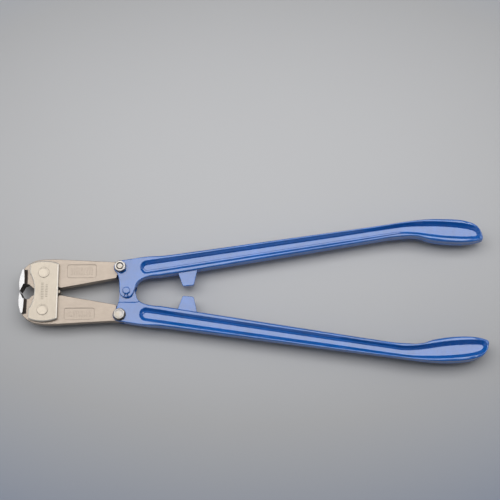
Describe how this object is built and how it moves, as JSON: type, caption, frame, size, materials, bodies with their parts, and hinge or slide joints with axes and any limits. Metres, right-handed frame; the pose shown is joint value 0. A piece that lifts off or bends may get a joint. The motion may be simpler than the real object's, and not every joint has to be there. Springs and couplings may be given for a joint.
{
  "type": "compound-action end nippers",
  "caption": "Long-handled end nippers: broad nipper jaws between cover plates, driven through a toggle by channelled handles with shaped grips.",
  "frame": {"origin": "centre of the tool's outline, at the level of its lowest nut face", "axes": "+X from the cutting edges to the grips, +Y across the jaws, +Z through the thickness towards the front face"},
  "size_m": [0.5928, 0.186, 0.0358],
  "materials": {
    "jaw": "satin nickel",
    "cover_plate": "satin nickel",
    "handle_paint": "glossy enamel",
    "pivot_paint": "glossy enamel",
    "zinc": "bright zinc plate"
  },
  "bodies": {
    "head": {"front_cover_plate": "cover_plate", "back_cover_plate": "cover_plate", "upper_jaw_pin": "cover_plate", "lower_jaw_pin": "cover_plate", "centre_spacer": "cover_plate"},
    "upper_jaw": {"upper_jaw": "jaw"},
    "lower_jaw": {"lower_jaw": "jaw"},
    "upper_handle": {"upper_handle": "handle_paint", "upper_link_bolt": "zinc", "upper_link_washer": "zinc", "upper_link_lock_washer": "zinc", "upper_link_nut": "zinc", "handle_pivot_pin": "pivot_paint", "pivot_lock_screw": "pivot_paint"},
    "lower_handle": {"lower_handle": "handle_paint", "lower_link_bolt": "zinc", "lower_link_washer": "zinc", "lower_link_lock_washer": "zinc", "lower_link_nut": "zinc"}
  },
  "joints": [
    {"name": "upper_jaw_pivot", "type": "hinge", "parent": "head", "child": "upper_jaw", "pos_m": [-0.2646, 0.024, 0.0179], "axis": [0, 0, -1], "range_deg": [-0.96, 7.85]},
    {"name": "lower_jaw_pivot", "type": "hinge", "parent": "head", "child": "lower_jaw", "pos_m": [-0.2646, -0.024, 0.0179], "axis": [0, 0, 1], "range_deg": [-0.96, 7.85]},
    {"name": "upper_handle_link", "type": "hinge", "parent": "upper_jaw", "child": "upper_handle", "pos_m": [-0.1676, 0.0305, 0.0179], "axis": [0, 0, 1], "range_deg": [-6.46, 52.84]},
    {"name": "lower_handle_link", "type": "hinge", "parent": "lower_jaw", "child": "lower_handle", "pos_m": [-0.1676, -0.0305, 0.0179], "axis": [0, 0, -1], "range_deg": [-6.46, 52.84]}
  ],
  "couplings": [
    {"joint": "upper_jaw_pivot", "follows": "upper_handle_link", "ratio": 0.1484},
    {"joint": "lower_jaw_pivot", "follows": "upper_handle_link", "ratio": 0.1484},
    {"joint": "lower_handle_link", "follows": "upper_handle_link", "ratio": 1}
  ]
}
